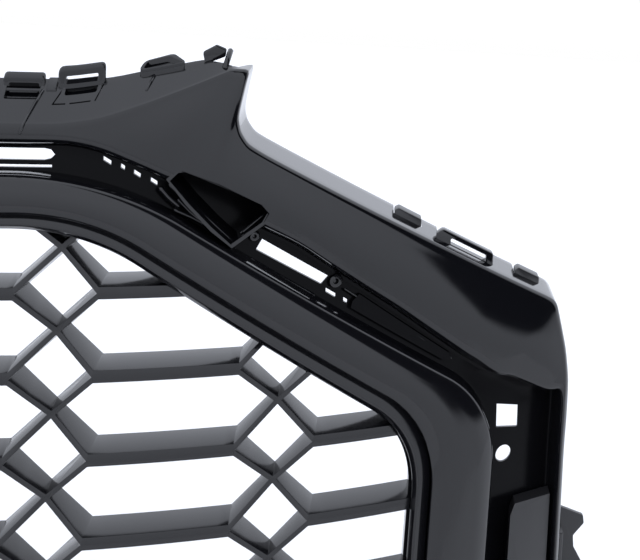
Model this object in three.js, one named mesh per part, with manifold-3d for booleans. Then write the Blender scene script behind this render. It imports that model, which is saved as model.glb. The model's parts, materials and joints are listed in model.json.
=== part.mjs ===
// Front grille of a road car: a gloss black surround panel with a headlight cut-out on each side,
// a raised eight-sided frame, a thin bezel inside it and an undulating honeycomb insert.
// Millimetres. X runs across the car, Y from front to back, Z up.
// The whole grille is bent on one surface, and "forward" is a distance in front of that surface.
import * as THREE from 'three';
import { mergeVertices } from 'three/addons/utils/BufferGeometryUtils.js';
import Module from 'manifold-3d';

const wasm = await Module();
wasm.setup();

// ---------- driving dimensions ----------
const SWEEP = 0.00064;         // how fast the surface falls back to each side, per mm
const RAKE = 0.28;             // how far it leans back, mm per mm of height
const GAP = 0.4;               // clearance between neighbouring pieces
const WALL = 2.6;              // wall of the moulded panels
const ORIGIN = new THREE.Vector3(0, 65.6, -98);   // centre of the whole part in the drawing's own axes

const FLOOR = -6;              // forward level of the channel floor round the frame
const SIDE_FLOOR = -10;        // the same on the side panels
const FACE = 14;               // forward level of the painted face
const FLANGE_RISE = 0.8;       // the bonnet flange climbs this much per mm back

const PITCH_X = 147;           // distance between the columns of diamonds
const PITCH_Z = 53.5;          // distance between the crossings in a column
const DIAMOND_HALF = 28.5;     // half the width of a diamond
const CROSSING_DEPTH = 12.5;   // the crossings lie this far behind the horizontal bars
const INSERT_DEPTH = 29;       // depth of the insert at the horizontal bars
const DIAGONAL_BAR = 3.5;      // front width of a diagonal bar
const LEVEL_BAR = 8;           // front height of a horizontal bar
const DRAFT = 2.5;             // each side of a bar is this much wider at the back
const INSERT_COLUMNS = { low: -4, high: 3 };
const INSERT_ROWS = { low: -8, high: 3 };
const RIM_FRONT = -6.2;        // forward level of the rim that carries the insert

// ---------- finishes ----------
const FINISHES = {
  gloss_black: { color: 0x0c0c0e, roughness: 0.12, metalness: 0 },
  satin_black: { color: 0x141416, roughness: 0.38, metalness: 0 },
  zinc_steel: { color: 0x9a9c9e, roughness: 0.35, metalness: 1 },
};

const grille = new THREE.Group();

/** Adds one named solid to the grille. */
function addPart(name, solid, finish) {
  const mesh = solid.getMesh();
  const geometry = new THREE.BufferGeometry();
  const stride = mesh.numProp;
  const positions = new Float32Array((mesh.vertProperties.length / stride) * 3);
  for (let i = 0; i < positions.length / 3; i += 1) {
    for (let axis = 0; axis < 3; axis += 1) {
      positions[3 * i + axis] = mesh.vertProperties[stride * i + axis];
    }
  }
  geometry.setAttribute('position', new THREE.BufferAttribute(positions, 3));
  geometry.setIndex(new THREE.BufferAttribute(new Uint32Array(mesh.triVerts), 1));
  geometry.computeVertexNormals();
  const part = new THREE.Mesh(geometry, new THREE.MeshStandardMaterial(FINISHES[finish]));
  part.name = name;
  grille.add(part);
}

/** Turns a closed three.js geometry into a solid that can be joined and cut. */
function solidOf(geometry) {
  const bare = geometry.clone();
  bare.deleteAttribute('normal');
  bare.deleteAttribute('uv');
  const merged = mergeVertices(bare, 1e-4);
  const solid = new wasm.Manifold(new wasm.Mesh({
    numProp: 3,
    vertProperties: new Float32Array(merged.attributes.position.array),
    triVerts: new Uint32Array(merged.index.array),
  }));
  return solid;
}

/** Turns points and triangles into a solid; the faces are turned out if the volume comes out negative. */
function solidFrom(points, triangles) {
  const geometry = new THREE.BufferGeometry();
  geometry.setAttribute('position', new THREE.Float32BufferAttribute(points.flat(), 3));
  const insideOut = volumeOf(points, triangles) < 0;
  geometry.setIndex(triangles.flatMap(([a, b, c]) => (insideOut ? [a, c, b] : [a, b, c])));
  return solidOf(geometry);
}

/** Signed volume: the sum of the tetrahedra from the middle of the points to each triangle. */
function volumeOf(points, triangles) {
  const middle = points[0];
  const a = new THREE.Vector3();
  const b = new THREE.Vector3();
  const c = new THREE.Vector3();
  let sum = 0;
  for (const [i, j, k] of triangles) {
    a.fromArray(points[i]).sub(new THREE.Vector3(...middle));
    b.fromArray(points[j]).sub(new THREE.Vector3(...middle));
    c.fromArray(points[k]).sub(new THREE.Vector3(...middle));
    sum += a.dot(b.cross(c)) / 6;
  }
  return sum;
}

const mix = (a, b, t) => a + (b - a) * t;

/** Depth of the bent surface at a place on the front view. */
const surface = (x, z) => SWEEP * x * x + RAKE * z;

/** A point of the grille from its place on the front view and its distance in front of the surface. */
const bent = (x, z, forward) => [x, surface(x, z) - forward, z];

// ---------- outlines of the right half, from the top middle round to the bottom middle ----------
const STEPS = { top: 6, shoulder: 8, chamfer: 10, corner: 8, side: 5, foot: 4, lower: 3, heel: 4, bottom: 5 };

/** An outline of straights joined by arcs, cut into the same number of steps whatever its size. */
function roundedRail(top, corners, bottom) {
  const counts = [[STEPS.top, STEPS.shoulder], [STEPS.chamfer, STEPS.corner],
    [STEPS.side, STEPS.foot], [STEPS.lower, STEPS.heel]];
  const rail = [];
  let start = new THREE.Vector2(0, top);
  corners.forEach(([x, z, radius], k) => {
    const here = new THREE.Vector2(x, z);
    const after = k + 1 < corners.length ? new THREE.Vector2(...corners[k + 1]) : new THREE.Vector2(0, bottom);
    const incoming = here.clone().sub(start).normalize();
    const outgoing = after.clone().sub(here).normalize();
    const turn = Math.acos(incoming.dot(outgoing));
    const reach = radius * Math.tan(turn / 2);
    const arcStart = here.clone().addScaledVector(incoming, -reach);
    const arcEnd = here.clone().addScaledVector(outgoing, reach);
    const centre = new THREE.Vector2(arcStart.x + radius * incoming.y, arcStart.y - radius * incoming.x);
    const [straightSteps, arcSteps] = counts[k];
    for (let i = 0; i < straightSteps; i += 1) {
      rail.push(start.clone().lerp(arcStart, i / straightSteps));
    }
    for (let i = 0; i < arcSteps; i += 1) {
      rail.push(arcStart.clone().rotateAround(centre, (-turn * i) / arcSteps));
    }
    start = arcEnd;
  });
  for (let i = 0; i <= STEPS.bottom; i += 1) {
    rail.push(start.clone().lerp(new THREE.Vector2(0, bottom), i / STEPS.bottom));
  }
  return rail;
}

/** An outline through given points; each stretch is [steps, x, z], straight from the point before. */
function drawnRail(top, stretches) {
  const rail = [new THREE.Vector2(0, top)];
  for (const [steps, x, z] of stretches) {
    const start = rail[rail.length - 1];
    for (let i = 1; i <= steps; i += 1) {
      rail.push(start.clone().lerp(new THREE.Vector2(x, z), i / steps));
    }
  }
  return rail;
}

/** The whole loop: the right half and its mirror image. */
function bothHalves(half) {
  const mirrored = half.slice(1, -1).reverse().map((p) => new THREE.Vector2(-p.x, p.y));
  return [...half, ...mirrored];
}

// the clear opening, the two edges of the frame, the edge of the face along the channel, and the outer edge
const OPENING = 0;
const FRAME_IN = 1;
const FRAME_OUT = 2;
const CHANNEL = 3;
const OUTER = 4;
const RAILS = [
  roundedRail(122.5, [[234, 122.5, 150], [467, -31, 72], [465, -264, 52], [370, -345, 62]], -345),
  roundedRail(133.5, [[239, 133.5, 150], [481, -21.6, 82], [479, -272, 60], [378, -358, 70]], -358),
  roundedRail(158, [[248, 158, 212], [527, -13.6, 80], [525, -290, 60], [400, -398, 80]], -398),
  drawnRail(178.5, [[STEPS.top, 200, 178.5],
    [1, 226, 178.4], [1, 245, 174], [1, 264, 166], [1, 277, 160.4], [1, 287, 156], [3, 312, 143.6],
    [2, 351, 124], [1, 377, 111], [1, 397, 97], [2, 434, 72], [1, 449, 62], [3, 502, 23],
    [1, 509, 18.7], [1, 527, 4.6], [1, 537, 3], [2, 570, -14.7], [1, 580, -13.3], [2, 580, -58.6],
    [STEPS.side, 583, -262], [1, 580, -284], [1, 571, -304], [1, 558, -321], [1, 541, -337],
    [STEPS.lower, 463, -403], [1, 448, -413], [1, 431, -421], [1, 411, -426], [1, 390, -428],
    [STEPS.bottom, 0, -428]]),
  drawnRail(190, [[STEPS.top, 200, 190.6],
    [1, 219, 190.8], [1, 243.6, 194.6], [1, 274, 205.3], [1, 304.6, 217.6], [1, 324.5, 226.2],
    [1, 336, 225.6], [1, 333.7, 214], [1, 330.4, 194.6],
    [1, 332.3, 185.5], [1, 338, 177], [1, 350, 169.7], [7, 520, 79.4],
    [1, 545, 66.2], [1, 566.5, 54.9], [1, 571, 50], [1, 574.4, 38.7], [1, 581, 15.5], [1, 585, -8],
    [1, 585.5, -35], [1, 585, -58.6],
    [STEPS.side, 588, -262], [1, 585, -286], [1, 576, -308], [1, 562, -326], [1, 545, -342],
    [STEPS.lower, 466, -408], [1, 451, -418], [1, 433, -426], [1, 412, -431], [1, 390, -433],
    [STEPS.bottom, 0, -433]]),
].map(bothHalves);
const STATIONS = RAILS[0].length;
const HALF_STATIONS = STATIONS / 2 + 1;

/**
 * A place on the front view: "across" counts the outlines outwards, with fractions between two of
 * them, and "shift" moves the place outwards by so many millimetres.
 */
function acrossAt(station, across, shift = 0) {
  const lower = Math.min(Math.floor(across), OUTER - 1);
  const a = RAILS[lower][station];
  const b = RAILS[lower + 1][station];
  const outward = b.clone().sub(a).normalize();
  return a.clone().lerp(b, across - lower).addScaledVector(outward, shift);
}

/** A closed ring: at each station a closed section of points is joined to the next section. */
function ringSolid(sectionAt) {
  const points = [];
  const triangles = [];
  const width = sectionAt(0).length;
  for (let station = 0; station < STATIONS; station += 1) {
    points.push(...sectionAt(station));
  }
  for (let i = 0; i < STATIONS; i += 1) {
    for (let j = 0; j < width; j += 1) {
      const a = i * width + j;
      const b = i * width + ((j + 1) % width);
      const c = ((i + 1) % STATIONS) * width + j;
      const d = ((i + 1) % STATIONS) * width + ((j + 1) % width);
      triangles.push([a, b, d], [a, d, c]);
    }
  }
  return solidFrom(points, triangles);
}

/** A ring whose section is the same everywhere, as [across, shift, forward]. */
function evenRing(section) {
  return ringSolid((station) => section.map(([across, shift, forward]) => {
    const place = acrossAt(station, across, shift);
    return bent(place.x, place.y, forward);
  }));
}

/** A plate seen from the front as an outline, between two forward levels of the bent surface. */
function bentPlate(outline, front, back) {
  return platePrism(outline, (p) => bent(p.x, p.y, front), (p) => bent(p.x, p.y, back));
}

/** A solid between two copies of an outline, each put in space by its own function. */
function platePrism(outline, toFront, toBack) {
  const shape = outline.map(([x, z]) => new THREE.Vector2(x, z));
  if (THREE.ShapeUtils.isClockWise(shape)) {
    shape.reverse();
  }
  const count = shape.length;
  const triangles = [];
  for (const [a, b, c] of THREE.ShapeUtils.triangulateShape(shape, [])) {
    triangles.push([a, b, c], [a + count, c + count, b + count]);
  }
  for (let i = 0; i < count; i += 1) {
    const j = (i + 1) % count;
    triangles.push([i, i + count, j], [j, i + count, j + count]);
  }
  return solidFrom([...shape.map(toFront), ...shape.map(toBack)], triangles);
}

const rectangle = (u0, v0, u1, v1) => [[u0, v0], [u1, v0], [u1, v1], [u0, v1]];

/** The corners of a circle. */
const circle = (x, z, radius, sides) => Array.from({ length: sides }, (_, i) => {
  const angle = (2 * Math.PI * (i + 0.5)) / sides;
  return [x + radius * Math.cos(angle), z + radius * Math.sin(angle)];
});

/** Mirrors an outline or a list of places to the other side of the car. */
const mirrorOutline = (outline, side) => outline.map(([x, z]) => [side * x, z]);
const mirrorSolid = (solid, side) => (side > 0 ? solid : solid.mirror([1, 0, 0]));
const SIDES = [['right', 1], ['left', -1]];

// ---------- surround panel ----------

/** Depth of the edge turned back behind the face, at a station of the right half. */
function returnDepth(station) {
  const stops = [[0, 30], [7, 30], [8, 27], [9, 23], [10, 16], [11, 3], [12, 33], [14, 47], [17, 54],
    [34, 54], [40, 40], [HALF_STATIONS - 1, 30]];
  const next = stops.findIndex(([at]) => at >= station);
  const [b, deepB] = stops[next];
  const [a, deepA] = stops[Math.max(next - 1, 0)];
  return b === a ? deepB : mix(deepA, deepB, (station - a) / (b - a));
}

const TIP_STATION = 11;        // the last station of the bonnet flange, at the tip beside the headlight

/** Section of the surround: under the frame, channel floor, wall, face, turned-back edge and inside again. */
function surroundSection(station) {
  const half = station < HALF_STATIONS ? station : STATIONS - station;
  const depth = returnDepth(half);
  const climbs = half <= TIP_STATION;
  const inner = acrossAt(station, CHANNEL);
  const edge = acrossAt(station, OUTER);
  const width = inner.distanceTo(edge);
  const hollow = THREE.MathUtils.smoothstep(width, 8, 16);
  const sideways = THREE.MathUtils.smoothstep(half, 24, 30);
  const floor = mix(FLOOR, SIDE_FLOOR, sideways);
  const under = FLOOR - WALL;
  const inside = mix(floor - WALL, FACE - WALL, hollow);
  const faceAt = (mm) => acrossAt(station, CHANNEL + Math.min(mm / width, 0.3));
  const rimAt = (mm) => acrossAt(station, OUTER - Math.min(mm / width, 0.52));
  const point = (place, forward) => bent(place.x, place.y, forward);
  const back = (place, shift) => {
    const [x, y, z] = bent(edge.x, edge.y, FACE - 3);
    const rise = climbs ? depth * FLANGE_RISE : 0;
    const offset = climbs ? [0, shift * 0.62, -shift * 0.78] : [place.x - edge.x, 0, place.y - edge.y];
    return [x + offset[0], y + depth + offset[1], z + rise + offset[2]];
  };
  return [
    point(acrossAt(station, FRAME_IN + 0.2), FLOOR),
    point(acrossAt(station, FRAME_OUT, 1), FLOOR),
    point(acrossAt(station, CHANNEL - 0.001, -6), floor),
    point(acrossAt(station, CHANNEL - 0.001, -1.2), FACE - 5),
    point(faceAt(2.5), FACE),
    point(rimAt(3), FACE),
    point(edge, FACE - 3),
    back(edge, 0),
    back(rimAt(WALL), WALL),
    point(rimAt(WALL), Math.min(FACE - 4, inside)),
    point(rimAt(WALL * 2), inside),
    point(faceAt(3.4), inside),
    point(faceAt(1.6), Math.min(FACE - 6, inside)),
    point(acrossAt(station, CHANNEL - 0.001, -3.2), floor - WALL),
    point(acrossAt(station, FRAME_OUT, 1), under),
    point(acrossAt(station, FRAME_IN + 0.2), under),
  ];
}

const FAR = 60;                // cutters reach this far in front of and behind the surface
const SLOT_OUTLINES = [
  [[40, 164], [207, 164], [212, 166], [213.5, 168], [212, 170], [207, 171.5], [40, 171.5]],
  [[40, 159.3], [212, 159.3], [212, 161], [40, 161]],
  [[350, 111], [396.5, 83.7], [391.8, 78.4], [346.3, 104]],
  [[528.8, -22], [546, -26], [546.5, -42], [529.5, -39]],
];
const SNAP_HOLES = [[246.5, 164, 6], [256.6, 160, 3], [266, 155.5, 5], [277, 150.5, 5], [399, 72, 8],
  [409.6, 66, 3], [428, 54.5, 5], [439, 48.5, 7]];
const ROUND_HOLE = { x: 536.5, z: -59.5, radius: 6, sides: 20 };
const POCKET = [[289.5, 154.3], [294.4, 159.4], [298.2, 160], [321.8, 150.5], [348.5, 138.1], [353.8, 132.4],
  [350.5, 126.2], [331, 112.5], [318, 124], [303, 139]];
const POCKET_FLOOR = -24;
const CHAMFER_START = 240;     // where the top of the frame turns down towards the side
const CHAMFER_SLOPE = -0.551;  // its angle there, in radians
const SNAP_HOLE_HEIGHT = 2.8;

/** The outline moved outwards from its middle by a distance. */
function grown(outline, distance) {
  const mean = (k) => outline.reduce((sum, place) => sum + place[k] / outline.length, 0);
  const middle = [mean(0), mean(1)];
  return outline.map(([x, z]) => {
    const reach = Math.hypot(x - middle[0], z - middle[1]);
    return [x + ((x - middle[0]) / reach) * distance, z + ((z - middle[1]) / reach) * distance];
  });
}

/** The outline with its long sides divided, so that a plate made from it follows the bent surface. */
function divided(outline, longest) {
  return outline.flatMap(([x, z], k) => {
    const [nextX, nextZ] = outline[(k + 1) % outline.length];
    const pieces = Math.ceil(Math.hypot(nextX - x, nextZ - z) / longest);
    return Array.from({ length: pieces }, (_, i) => i / pieces)
      .map((t) => [mix(x, nextX, t), mix(z, nextZ, t)]);
  });
}

/** A snap hole lies along the chamfer of the frame, or level along its top. */
function snapHole([x, z, length]) {
  const slope = x < CHAMFER_START ? 0 : CHAMFER_SLOPE;
  const c = Math.cos(slope) * length * 0.5;
  const s = Math.sin(slope) * length * 0.5;
  const half = SNAP_HOLE_HEIGHT / 2;
  return [[x - c, z - s - half], [x + c, z + s - half], [x + c, z + s + half], [x - c, z - s + half]];
}

function makeSurround() {
  let panel = ringSolid(surroundSection);
  for (const [, side] of SIDES) {
    const pocketShell = bentPlate(mirrorOutline(grown(POCKET, WALL), side), FACE - 1, POCKET_FLOOR - WALL)
      .subtract(bentPlate(mirrorOutline(POCKET, side), FAR, POCKET_FLOOR));
    panel = panel.subtract(bentPlate(mirrorOutline(grown(POCKET, WALL / 2), side), FAR, POCKET_FLOOR))
      .add(pocketShell);
    for (const outline of [...SLOT_OUTLINES, ...SNAP_HOLES.map(snapHole)]) {
      panel = panel.subtract(bentPlate(mirrorOutline(outline, side), FAR, -FAR / 3));
    }
    const round = circle(ROUND_HOLE.x, ROUND_HOLE.z, ROUND_HOLE.radius, ROUND_HOLE.sides);
    panel = panel.subtract(bentPlate(mirrorOutline(round, side), FAR, -FAR / 3));
    for (const notch of headlightNotches(side)) {
      panel = panel.subtract(notch);
    }
  }
  addPart('surround_panel', panel, 'gloss_black');
}

// ---------- frame, bezel and insert ----------
const SCREW_STATIONS = [3, 14, 27, 36, 45].flatMap((station) => [station, STATIONS - station]);
const SCREW_ACROSS = 0.68;
const SCREW = { shank: 2, hole: 2.5, head: 4.2, sides: 8 };

function screwPlace(station) {
  return acrossAt(station, SCREW_ACROSS);
}

/** Cuts the screw holes through a flange, between two forward levels. */
function drilled(solid, front, back) {
  let result = solid;
  for (const station of SCREW_STATIONS) {
    const { x, y } = screwPlace(station);
    result = result.subtract(bentPlate(circle(x, y, SCREW.hole, SCREW.sides), front, back));
  }
  return result;
}

function makeFrame() {
  addPart('frame_trim', evenRing([
    [FRAME_OUT, 0, FLOOR + GAP],
    [FRAME_OUT, 0, 9],
    [FRAME_OUT - 0.1, 0, 14.5],
    [FRAME_OUT - 0.5, 0, 19],
    [FRAME_IN + 0.12, 0, 17.5],
    [FRAME_IN, 0, 13],
    [FRAME_IN, 0, -3 + GAP],
    [FRAME_IN, WALL, -3 + GAP],
    [FRAME_IN, WALL, 12],
    [FRAME_OUT - 0.5, 0, 16],
    [FRAME_OUT - 0.001, -WALL - 1, 9.5],
    [FRAME_OUT - 0.001, -WALL, FLOOR + GAP],
  ]), 'gloss_black');
}

function makeBezel() {
  const bezel = evenRing([
    [OPENING, 0, FLOOR + GAP],
    [OPENING, 0, 2],
    [OPENING + 0.3, 0, 8.2],
    [FRAME_IN - 0.06, 0, 6.8],
    [FRAME_IN - 0.06, 0, 4.4],
    [OPENING + 0.42, 0, 5.2],
    [OPENING + 0.25, 0, 0],
    [OPENING + 0.25, 0, -3],
    [FRAME_IN + 0.32, 0, -3],
    [FRAME_IN + 0.32, 0, FLOOR + GAP],
  ]);
  addPart('inner_bezel', drilled(bezel, 0, -FAR), 'gloss_black');
}

/** Corner of a cell after its two sides have moved in by their own distances; corners run anticlockwise. */
function insetCorner(previous, corner, next, insetBefore, insetAfter) {
  const before = corner.clone().sub(previous).normalize();
  const after = next.clone().sub(corner).normalize();
  const start = corner.clone().add(new THREE.Vector2(-before.y, before.x).multiplyScalar(insetBefore));
  const other = corner.clone().add(new THREE.Vector2(-after.y, after.x).multiplyScalar(insetAfter));
  const travel = other.sub(start).cross(after) / before.cross(after);
  return start.addScaledVector(before, travel);
}

const columnX = (column) => (column + 0.5) * PITCH_X;

/** Bar centre lines round a cell: a diamond has four corners, a hexagon six; "level" marks level sides. */
function cellOutline(kind, column, row) {
  const x = columnX(column);
  const z = row * PITCH_Z;
  const half = PITCH_Z / 2;
  if (kind === 'diamond') {
    return {
      corners: [[x, z], [x + DIAMOND_HALF, z + half], [x, z + 2 * half], [x - DIAMOND_HALF, z + half]],
      level: [false, false, false, false],
    };
  }
  const right = x + PITCH_X;
  return {
    corners: [[x, z], [x + DIAMOND_HALF, z - half], [right - DIAMOND_HALF, z - half],
      [right, z], [right - DIAMOND_HALF, z + half], [x + DIAMOND_HALF, z + half]],
    level: [false, true, false, false, true, false],
  };
}

/** One corner of a cell's hole, at the front or at the back of the insert. */
function cellCorner([kind, column, row, index], widen) {
  const { corners, level } = cellOutline(kind, column, row);
  const count = corners.length;
  const at = (k) => new THREE.Vector2(...corners[(k + count) % count]);
  const inset = (k) => (level[(k + count) % count] ? LEVEL_BAR : DIAGONAL_BAR) / 2 + widen;
  return insetCorner(at(index - 1), at(index), at(index + 1), inset(index - 1), inset(index));
}

/** Forward level of the front: level with the bars, falling to the crossings like a tent turned over. */
function insertFront(place) {
  const column = Math.round(place.x / PITCH_X - 0.5);
  const row = Math.round(place.y / PITCH_Z);
  const sideways = Math.abs(place.x - columnX(column)) / DIAMOND_HALF;
  const upwards = Math.abs(place.y - row * PITCH_Z) / (PITCH_Z / 2);
  return -CROSSING_DEPTH * (1 - Math.min(1, Math.max(sideways, upwards)));
}

/** The front faces of the bars and of the places where they meet, as loops of cell corners. */
function insertPatches(column, row) {
  const d = (index, rowStep = 0) => ['diamond', column, row + rowStep, index];
  const h = (index, columnStep = 0, rowStep = 0) => ['hexagon', column + columnStep, row + rowStep, index];
  return [
    [h(0), d(0), h(3, -1), d(2, -1)],
    [d(1), h(5), h(1, 0, 1)],
    [d(3), h(2, -1, 1), h(4, -1)],
    [h(0), h(5), d(1), d(0)],
    [h(1, 0, 1), h(0, 0, 1), d(2), d(1)],
    [d(0), d(3), h(4, -1), h(3, -1)],
    [d(3), d(2), h(3, -1, 1), h(2, -1, 1)],
    [h(5), h(4), h(2, 0, 1), h(1, 0, 1)],
  ];
}

/** The open network of bars: every patch has a twin at the back, and each free edge gets a side wall. */
function barNetwork() {
  const ids = new Map();
  const front = [];
  const back = [];
  const idOf = (corner) => {
    const key = corner.join();
    if (!ids.has(key)) {
      ids.set(key, front.length);
      const near = cellCorner(corner, 0);
      const far = cellCorner(corner, DRAFT);
      front.push(bent(near.x, near.y, insertFront(near)));
      back.push(bent(far.x, far.y, -INSERT_DEPTH));
    }
    return ids.get(key);
  };
  const loops = [];
  for (let column = INSERT_COLUMNS.low; column <= INSERT_COLUMNS.high; column += 1) {
    for (let row = INSERT_ROWS.low; row <= INSERT_ROWS.high; row += 1) {
      loops.push(...insertPatches(column, row).map((patch) => patch.map(idOf)));
    }
  }
  const count = front.length;
  const edges = new Set(loops.flatMap((loop) => loop.map((a, k) => `${a},${loop[(k + 1) % loop.length]}`)));
  const triangles = [];
  for (const loop of loops) {
    for (let k = 2; k < loop.length; k += 1) {
      triangles.push([loop[0], loop[k - 1], loop[k]], [loop[0] + count, loop[k] + count, loop[k - 1] + count]);
    }
    loop.forEach((a, k) => {
      const b = loop[(k + 1) % loop.length];
      if (!edges.has(`${b},${a}`)) {
        triangles.push([a, a + count, b], [b, a + count, b + count]);
      }
    });
  }
  return solidFrom([...front, ...back], triangles);
}

/** The rim that carries the network behind the bezel, and the screw flange round it. */
function insertRim() {
  const rim = evenRing([
    [OPENING, -DRAFT, RIM_FRONT],
    [OPENING, -DRAFT, -INSERT_DEPTH - 2],
    [OPENING, 0.5, -INSERT_DEPTH - 2],
    [OPENING, 0.5, RIM_FRONT - WALL],
    [FRAME_IN - 0.02, 0, RIM_FRONT - WALL],
    [FRAME_IN - 0.02, 0, RIM_FRONT],
  ]);
  return drilled(rim, 0, -INSERT_DEPTH);
}

function makeInsert() {
  const clear = RAILS[OPENING].map((_, station) => acrossAt(station, OPENING, -GAP).toArray());
  const within = bentPlate(clear, 4 * FAR, -4 * FAR);
  addPart('honeycomb_insert', barNetwork().intersect(within).add(insertRim()), 'satin_black');
}

// ---------- fixings ----------
function makeScrews() {
  SCREW_STATIONS.forEach((station, k) => {
    const { x, y } = screwPlace(station);
    const top = RIM_FRONT - WALL - GAP;
    const head = bentPlate(circle(x, y, SCREW.head, SCREW.sides), top, top - 2.8);
    const shank = bentPlate(circle(x, y, SCREW.shank, SCREW.sides), -1, top - 1);
    addPart(`screw_${String(k + 1).padStart(2, '0')}`, head.add(shank), 'zinc_steel');
  });
}

/** A rectangle on the front view, turned to follow the frame at a station. */
function alongFrame(station, across, length, width) {
  const middle = acrossAt(station, across);
  const outward = acrossAt(station, across, 1).sub(middle);
  const along = new THREE.Vector2(outward.y, -outward.x);
  return rectangle(-length / 2, -width / 2, length / 2, width / 2)
    .map(([u, v]) => middle.clone().addScaledVector(along, u).addScaledVector(outward, v).toArray());
}

/** Spring clips between the channel floor and the hollow of the frame: a base with two legs. */
function makeTrimClips() {
  const half = [2, 9, 19, 33];
  half.flatMap((station) => [station, STATIONS - station]).forEach((station, k) => {
    const outer = bentPlate(alongFrame(station, 1.62, 12, 6), 7, FLOOR + GAP);
    const gap = bentPlate(alongFrame(station, 1.62, 13, 3.4), 8, FLOOR + 2);
    addPart(`trim_clip_${k + 1}`, outer.subtract(gap), 'zinc_steel');
  });
}

// ---------- clips on the bonnet flange ----------

/** A solid with six sides whose corners are pointAt(u, v, height) for the given ranges. */
function block(pointAt, [u0, u1], [v0, v1], [h0, h1]) {
  const points = [];
  for (const h of [h0, h1]) {
    for (const [u, v] of rectangle(u0, v0, u1, v1)) {
      points.push(pointAt(u, v, h));
    }
  }
  const triangles = [];
  const sides = [[0, 3, 2, 1], [4, 5, 6, 7], [0, 1, 5, 4], [1, 2, 6, 5], [2, 3, 7, 6], [3, 0, 4, 7]];
  for (const [a, b, c, d] of sides) {
    triangles.push([a, b, c], [a, c, d]);
  }
  return solidFrom(points, triangles);
}

/** A point on the bonnet flange: x across, "rise" up its slope, and height off its top face. */
function onBonnetFlange(x, rise, height) {
  const rail = RAILS[OUTER];
  const next = rail.findIndex((p) => p.x >= x);
  const a = rail[next - 1];
  const b = rail[next];
  const z = mix(a.y, b.y, (x - a.x) / (b.x - a.x));
  const slope = Math.hypot(1, FLANGE_RISE);
  const [px, py, pz] = bent(x, z, FACE - 3);
  return [px, py + (rise - height * FLANGE_RISE) / slope, pz + (rise * FLANGE_RISE + height) / slope];
}

/** An upright frame of four walls with an open window, standing on the flange. */
function socket([u0, u1], [v0, v1], [h0, h1], wall) {
  const window = [[u0 + wall, u1 - wall], [v0 - wall, v1 - wall], [h0 + wall, h1 - wall]];
  return block(onBonnetFlange, [u0, u1], [v0, v1], [h0, h1])
    .subtract(block(onBonnetFlange, ...window));
}

const BONNET_CLIPS = {
  clip_socket: () => socket([178, 204], [22, 37], [GAP, 7], 2),
  latch_loop: () => block(onBonnetFlange, [211, 241], [14, 29], [GAP, 2.4])
    .add(block(onBonnetFlange, [212.5, 242], [28.5, 33], [GAP, 11])
      .subtract(block(onBonnetFlange, [217.5, 237.5], [20, 44], [3, 7.6]))),
  guide_box: () => socket([264, 292], [18, 30], [GAP, 7], 2.2),
  edge_tab: () => block(onBonnetFlange, [304, 319], [12, 15], [GAP, 4.5]),
};

// ---------- fixings along the headlight edge ----------
const headlightZ = (x) => 175 - 0.531 * (x - 340);
const LUG_DEPTH = [-18, -30];     // forward levels of the front and back of a lug
const LOOP_DEPTH = [-8, -16];
const HEADLIGHT_LUGS = { upper: [441, 461.3], lower: [537.3, 558] };
const HEADLIGHT_LOOP = { outside: [473, 518], window: [484, 512] };

/** A bar along the headlight edge between two places, from one distance off it to another. */
function headlightPiece(side, [x0, x1], [low, high], [front, back]) {
  const outline = [[x0, headlightZ(x0) + low], [x1, headlightZ(x1) + low],
    [x1, headlightZ(x1) + high], [x0, headlightZ(x0) + high]];
  return bentPlate(mirrorOutline(outline, side), front, back);
}

/** Room cut from the turned-back edge for a fixing, with a clearance round its front and ends. */
function headlightNotch(side, [x0, x1], [front]) {
  return headlightPiece(side, [x0 - GAP, x1 + GAP], [-9, 9], [front + GAP, -FAR]);
}

function headlightNotches(side) {
  return [headlightNotch(side, HEADLIGHT_LUGS.upper, LUG_DEPTH),
    headlightNotch(side, HEADLIGHT_LUGS.lower, LUG_DEPTH),
    headlightNotch(side, HEADLIGHT_LOOP.outside, LOOP_DEPTH)];
}

const HEADLIGHT_FIXINGS = {
  headlight_lug_upper: (side) => headlightPiece(side, HEADLIGHT_LUGS.upper, [-0.8, 4.6], LUG_DEPTH),
  headlight_lug_lower: (side) => headlightPiece(side, HEADLIGHT_LUGS.lower, [-0.8, 4.6], LUG_DEPTH),
  headlight_loop: (side) => headlightPiece(side, HEADLIGHT_LOOP.outside, [-4, 8], LOOP_DEPTH)
    .subtract(headlightPiece(side, HEADLIGHT_LOOP.window, [-1.5, 5.5], [0, -FAR])),
};

// ---------- covers, brackets and the lower rail ----------
const BLANK_COVER = [[415, 66], [419.5, 70.5], [488, 22.5], [490.5, 17], [485, 17.2], [414, 61.5]];
const SIDE_COVER = [[547, -92], [575.5, -91], [577, -240], [570, -262], [556, -262], [544, -240], [544, -100]];
const SIDE_BRACKET = [[589.5, -119], [610, -125], [611, -131], [603, -141], [604, -150], [613, -164],
  [613, -262], [603, -274], [589.5, -268]];
const BRACKET_LEVEL = 254;     // depth of the bracket's back face where Z is 0
const BRACKET_THICK = 4;
const LOWER_RAIL = { halfLength: 380, low: -424, high: -405, depth: 14, pieces: 12 };

/** A flat plate that leans back with the grille, so that its back face is one true plane. */
function leaningPlate(outline, back, thickness) {
  const at = (depth) => (p) => [p.x, depth + RAKE * p.y, p.y];
  return platePrism(outline, at(back - thickness), at(back));
}

/** A flat cap on the channel floor over a slot that this version of the grille does not use. */
function makeSlotBlank(side) {
  return bentPlate(mirrorOutline(divided(BLANK_COVER, 14), side), -2, FLOOR + 2 * GAP);
}

function makeSideCover(side) {
  const shell = bentPlate(mirrorOutline(SIDE_COVER, side), 10, SIDE_FLOOR + 5);
  const hollow = bentPlate(mirrorOutline(grown(SIDE_COVER, -WALL), side), 10 - WALL, -FAR);
  return shell.subtract(hollow);
}

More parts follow.
